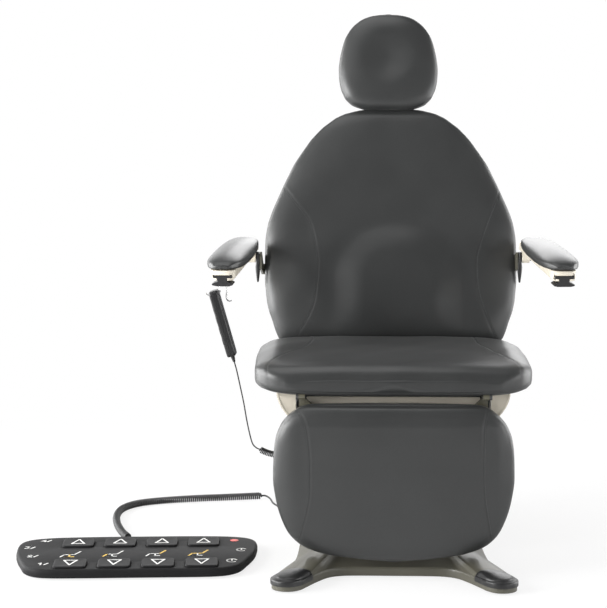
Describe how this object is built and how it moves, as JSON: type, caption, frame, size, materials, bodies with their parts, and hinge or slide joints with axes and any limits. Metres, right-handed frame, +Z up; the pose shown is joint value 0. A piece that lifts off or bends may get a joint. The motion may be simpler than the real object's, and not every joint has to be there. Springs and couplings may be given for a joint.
{
  "type": "procedure chair",
  "caption": "Powered procedure chair with lifting column base, tilting seat, reclining back, leg rest, headrest, swing-up armrests, hand pendant and foot control.",
  "frame": {"origin": "on the floor, at the centre of the base frame's four anchor holes", "axes": "+Z up, -Y towards the leg rest (the sitter's front), +X to the sitter's left"},
  "size_m": [1.2373, 0.8814, 1.2412],
  "materials": {
    "vinyl": "satin",
    "cream": "satin",
    "olive": "satin",
    "olive_dark": "satin",
    "near_black": "satin",
    "keys": "matte",
    "steel": "brushed",
    "dark_steel": "satin",
    "cord": "satin",
    "wire": "bright"
  },
  "bodies": {
    "base": {"base_frame": "olive", "base_cover": "olive", "foot_caps": "near_black", "glides": "near_black", "column_outer": "steel", "lift_cylinder": "dark_steel", "shroud_lower": "olive", "control_box": "steel", "base_sockets": "near_black", "pedal_base": "near_black", "pedal_housing": "near_black", "pedal_relief": "near_black", "pedal_lead": "cord", "pedal_coil": "cord"},
    "lift_mid": {"column_mid": "steel", "lift_stage": "steel", "shroud_mid": "olive"},
    "carriage": {"column_inner": "steel", "lift_rod": "steel", "shroud_top": "olive", "lift_head": "dark_steel", "tilt_actuator": "near_black"},
    "tilt_rod": {"tilt_rod": "steel"},
    "seat": {"seat_frame": "dark_steel", "seat_cushion": "vinyl", "seat_skirt": "cream", "leg_actuator": "near_black", "back_actuator": "near_black", "pendant_socket": "near_black", "pendant_lead": "cord", "pendant_coil": "cord"},
    "leg": {"leg_frame": "olive_dark", "leg_cushion": "vinyl"},
    "leg_rod": {"leg_rod": "steel"},
    "back": {"back_frame": "dark_steel", "back_cover": "cream", "back_cushion": "vinyl", "arm_brackets": "olive"},
    "back_rod": {"back_rod": "steel"},
    "head_post": {"head_post": "near_black"},
    "head": {"head_plate": "near_black", "head_cushion": "vinyl"},
    "arm_right": {"arm_shell_right": "cream", "arm_pad_right": "vinyl"},
    "arm_left": {"arm_shell_left": "cream", "arm_pad_left": "vinyl"},
    "lever_right": {"arm_lever_right": "near_black"},
    "lever_left": {"arm_lever_left": "near_black"},
    "clamp_right": {"arm_clamp_right": "near_black", "pendant_hook": "wire", "pendant": "near_black"},
    "clamp_left": {"arm_clamp_left": "near_black"},
    "button_1": {"pedal_button_1": "keys"},
    "button_2": {"pedal_button_2": "keys"},
    "button_3": {"pedal_button_3": "keys"},
    "button_4": {"pedal_button_4": "keys"},
    "button_5": {"pedal_button_5": "keys"},
    "button_6": {"pedal_button_6": "keys"},
    "button_7": {"pedal_button_7": "keys"},
    "button_8": {"pedal_button_8": "keys"}
  },
  "joints": [
    {"name": "lift", "type": "slide", "parent": "base", "child": "carriage", "axis": [0, 0, 1], "range_m": [0, 0.35]},
    {"name": "lift_mid_slide", "type": "slide", "parent": "base", "child": "lift_mid", "axis": [0, 0, 1], "range_m": [0, 0.176]},
    {"name": "seat_tilt", "type": "hinge", "parent": "carriage", "child": "seat", "pos_m": [0, 0.12, 0.312], "axis": [-1, 0, 0], "range_deg": [0, 12]},
    {"name": "tilt_rod_slide", "type": "slide", "parent": "carriage", "child": "tilt_rod", "axis": [0, 0, 1], "range_m": [0, 0.0405]},
    {"name": "back_recline", "type": "hinge", "parent": "seat", "child": "back", "pos_m": [0, 0.13, 0.398], "axis": [-1, 0, 0], "range_deg": [0, 75]},
    {"name": "back_rod_slide", "type": "slide", "parent": "seat", "child": "back_rod", "axis": [0, -1, 0], "range_m": [0, 0.0702]},
    {"name": "leg_lift", "type": "hinge", "parent": "seat", "child": "leg", "pos_m": [0, -0.334, 0.391], "axis": [-1, 0, 0], "range_deg": [0, 85]},
    {"name": "leg_rod_slide", "type": "slide", "parent": "seat", "child": "leg_rod", "axis": [0, -1, 0], "range_m": [0, 0.1242]},
    {"name": "head_slide", "type": "slide", "parent": "back", "child": "head_post", "axis": [0, 0.2334, 0.9724], "range_m": [0, 0.12]},
    {"name": "head_tilt", "type": "hinge", "parent": "head_post", "child": "head", "pos_m": [0, 0.33075, 1.10569], "axis": [-1, 0, 0], "range_deg": [-4, 30]},
    {"name": "arm_right_hinge", "type": "hinge", "parent": "back", "child": "arm_right", "pos_m": [-0.329, 0.15378, 0.65557], "axis": [-1, 0, 0], "range_deg": [0, 85]},
    {"name": "arm_left_hinge", "type": "hinge", "parent": "back", "child": "arm_left", "pos_m": [0.329, 0.15378, 0.65557], "axis": [-1, 0, 0], "range_deg": [0, 85]},
    {"name": "lever_right_hinge", "type": "hinge", "parent": "arm_right", "child": "lever_right", "pos_m": [-0.315, 0.15378, 0.65557], "axis": [-1, 0, 0], "range_deg": [0, 15], "stiffness_Nm_per_rad": 0.5},
    {"name": "lever_left_hinge", "type": "hinge", "parent": "arm_left", "child": "lever_left", "pos_m": [0.315, 0.15378, 0.65557], "axis": [-1, 0, 0], "range_deg": [0, 15], "stiffness_Nm_per_rad": 0.5},
    {"name": "clamp_right_slide", "type": "slide", "parent": "arm_right", "child": "clamp_right", "axis": [0.0865, 0.989, 0.1201], "range_m": [0, 0.12]},
    {"name": "clamp_left_slide", "type": "slide", "parent": "arm_left", "child": "clamp_left", "axis": [-0.0865, 0.989, 0.1201], "range_m": [0, 0.12]},
    {"name": "button_1_press", "type": "slide", "parent": "base", "child": "button_1", "axis": [0, 0, -1], "range_m": [0, 0.0025], "stiffness_N_per_m": 400},
    {"name": "button_2_press", "type": "slide", "parent": "base", "child": "button_2", "axis": [0, 0, -1], "range_m": [0, 0.0025], "stiffness_N_per_m": 400},
    {"name": "button_3_press", "type": "slide", "parent": "base", "child": "button_3", "axis": [0, 0, -1], "range_m": [0, 0.0025], "stiffness_N_per_m": 400},
    {"name": "button_4_press", "type": "slide", "parent": "base", "child": "button_4", "axis": [0, 0, -1], "range_m": [0, 0.0025], "stiffness_N_per_m": 400},
    {"name": "button_5_press", "type": "slide", "parent": "base", "child": "button_5", "axis": [0, 0, -1], "range_m": [0, 0.0025], "stiffness_N_per_m": 400},
    {"name": "button_6_press", "type": "slide", "parent": "base", "child": "button_6", "axis": [0, 0, -1], "range_m": [0, 0.0025], "stiffness_N_per_m": 400},
    {"name": "button_7_press", "type": "slide", "parent": "base", "child": "button_7", "axis": [0, 0, -1], "range_m": [0, 0.0025], "stiffness_N_per_m": 400},
    {"name": "button_8_press", "type": "slide", "parent": "base", "child": "button_8", "axis": [0, 0, -1], "range_m": [0, 0.0025], "stiffness_N_per_m": 400}
  ],
  "couplings": [
    {"joint": "lift_mid_slide", "follows": "lift", "ratio": 0.5},
    {"joint": "tilt_rod_slide", "follows": "seat_tilt", "m_per_rad": 0.1917},
    {"joint": "back_rod_slide", "follows": "back_recline", "m_per_rad": 0.053476},
    {"joint": "leg_rod_slide", "follows": "leg_lift", "m_per_rad": 0.083585}
  ]
}
